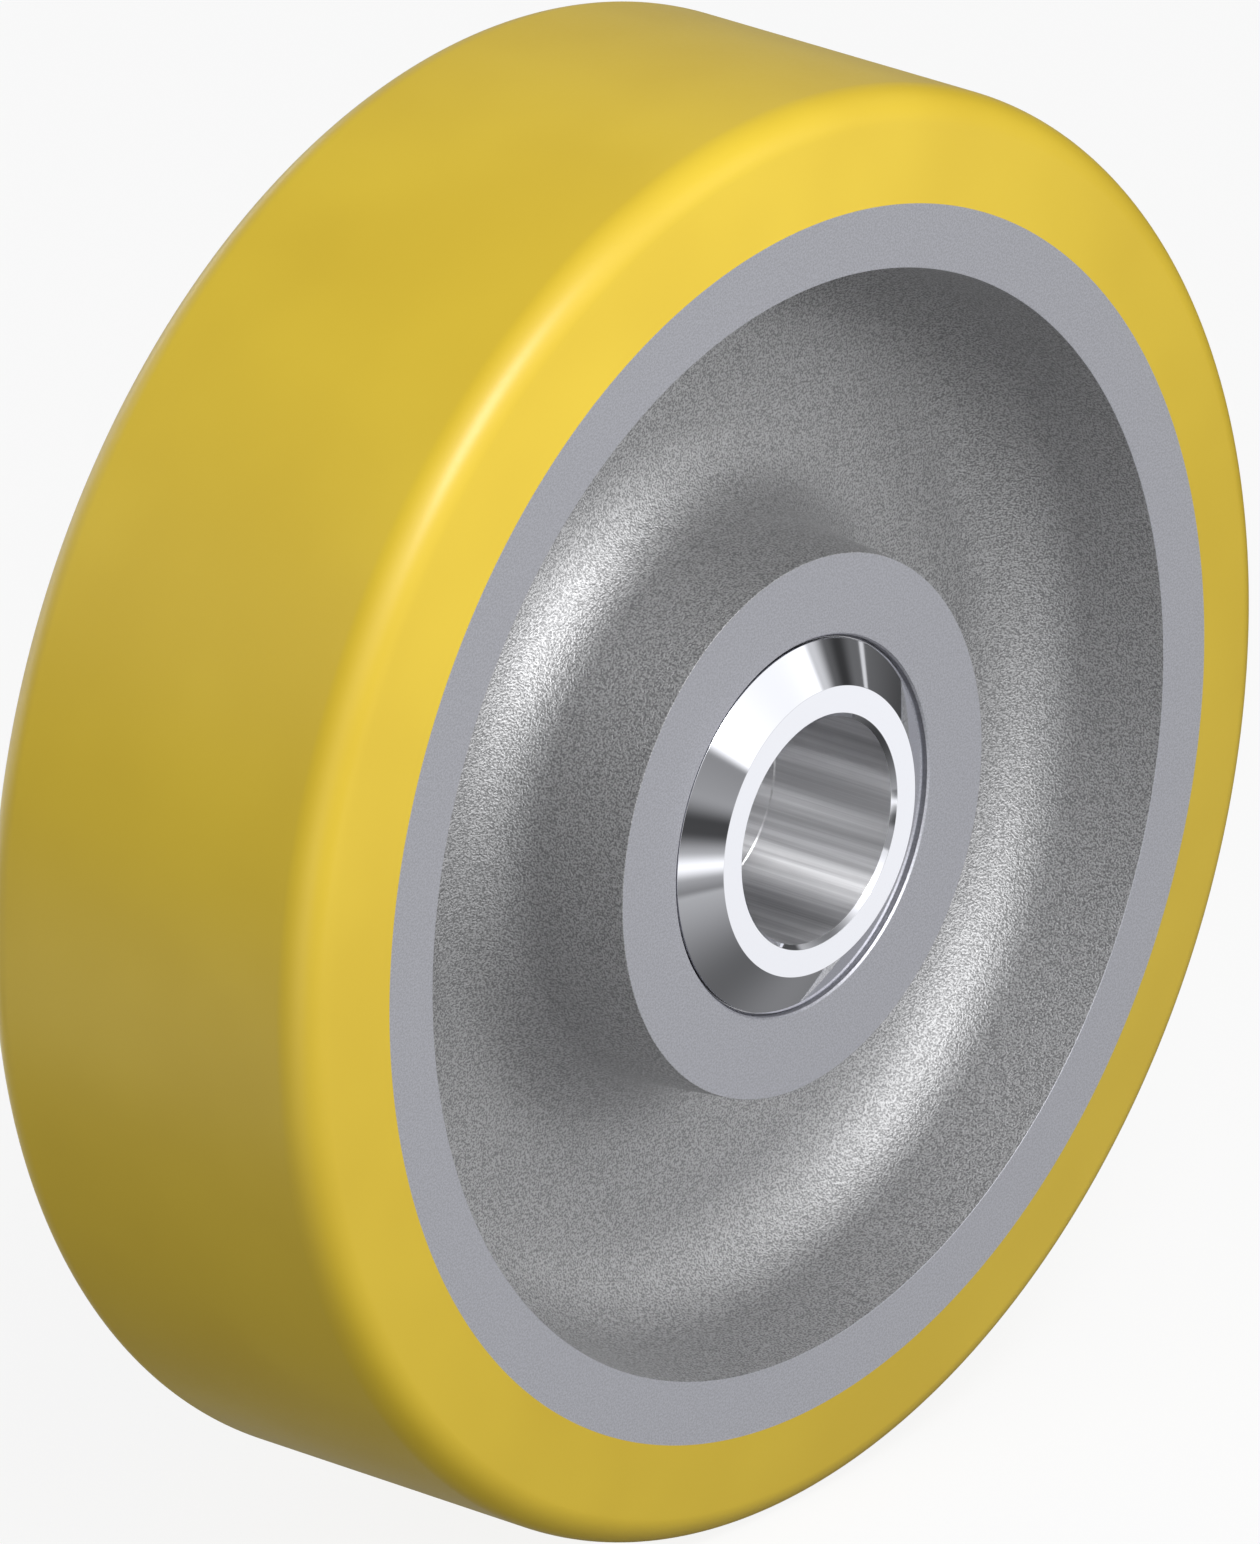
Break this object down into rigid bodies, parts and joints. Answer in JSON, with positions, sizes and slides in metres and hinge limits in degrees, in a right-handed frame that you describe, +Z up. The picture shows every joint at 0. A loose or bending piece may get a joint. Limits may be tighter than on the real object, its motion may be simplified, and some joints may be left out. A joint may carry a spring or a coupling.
{
  "type": "wheel",
  "caption": "Heavy-duty wheel with a solid polyurethane tread on a dished iron centre, sealed ball bearings and conical sleeves for an axle.",
  "frame": {"origin": "centre of the wheel, on its axis and halfway across its width", "axes": "+Y along the axle, from the front of the wheel to its back; +Z up, with the wheel upright on its tread's lowest line"},
  "size_m": [0.16, 0.0524, 0.16],
  "materials": {
    "polyurethane": "satin cast polyurethane",
    "cast_iron": "rough as cast in the dishes, fine turned on the rim and hub faces",
    "sleeve_chrome": "bright plated cone, turned bore",
    "bearing_steel": "fine ground",
    "ball_steel": "polished",
    "cage_steel": "pressed strip",
    "seal_rubber": "matt black",
    "tube_steel": "drawn tube"
  },
  "bodies": {
    "axle_set": {"front_sleeve": "sleeve_chrome", "back_sleeve": "sleeve_chrome", "spacer_tube": "tube_steel", "front_bearing_inner_ring": "bearing_steel", "back_bearing_inner_ring": "bearing_steel"},
    "wheel": {"tread": "polyurethane", "wheel_centre": "cast_iron", "front_bearing_outer_ring": "bearing_steel", "front_bearing_outer_seal": "seal_rubber", "front_bearing_inner_seal": "seal_rubber", "back_bearing_outer_ring": "bearing_steel", "back_bearing_outer_seal": "seal_rubber", "back_bearing_inner_seal": "seal_rubber"},
    "front_ball_set": {"front_bearing_balls": "ball_steel", "front_bearing_cage_outer_half": "cage_steel", "front_bearing_cage_inner_half": "cage_steel", "front_bearing_cage_rivets": "cage_steel"},
    "back_ball_set": {"back_bearing_balls": "ball_steel", "back_bearing_cage_outer_half": "cage_steel", "back_bearing_cage_inner_half": "cage_steel", "back_bearing_cage_rivets": "cage_steel"}
  },
  "joints": [
    {"name": "wheel_spin", "type": "hinge", "parent": "axle_set", "child": "wheel", "pos_m": [0, 0, 0], "axis": [0, 1, 0], "continuous": true},
    {"name": "front_cage_spin", "type": "hinge", "parent": "axle_set", "child": "front_ball_set", "pos_m": [0, -0.01985, 0], "axis": [0, 1, 0], "continuous": true},
    {"name": "back_cage_spin", "type": "hinge", "parent": "axle_set", "child": "back_ball_set", "pos_m": [0, 0.01985, 0], "axis": [0, 1, 0], "continuous": true}
  ],
  "couplings": [
    {"joint": "front_cage_spin", "follows": "wheel_spin", "ratio": 0.54861},
    {"joint": "back_cage_spin", "follows": "wheel_spin", "ratio": 0.54861}
  ]
}
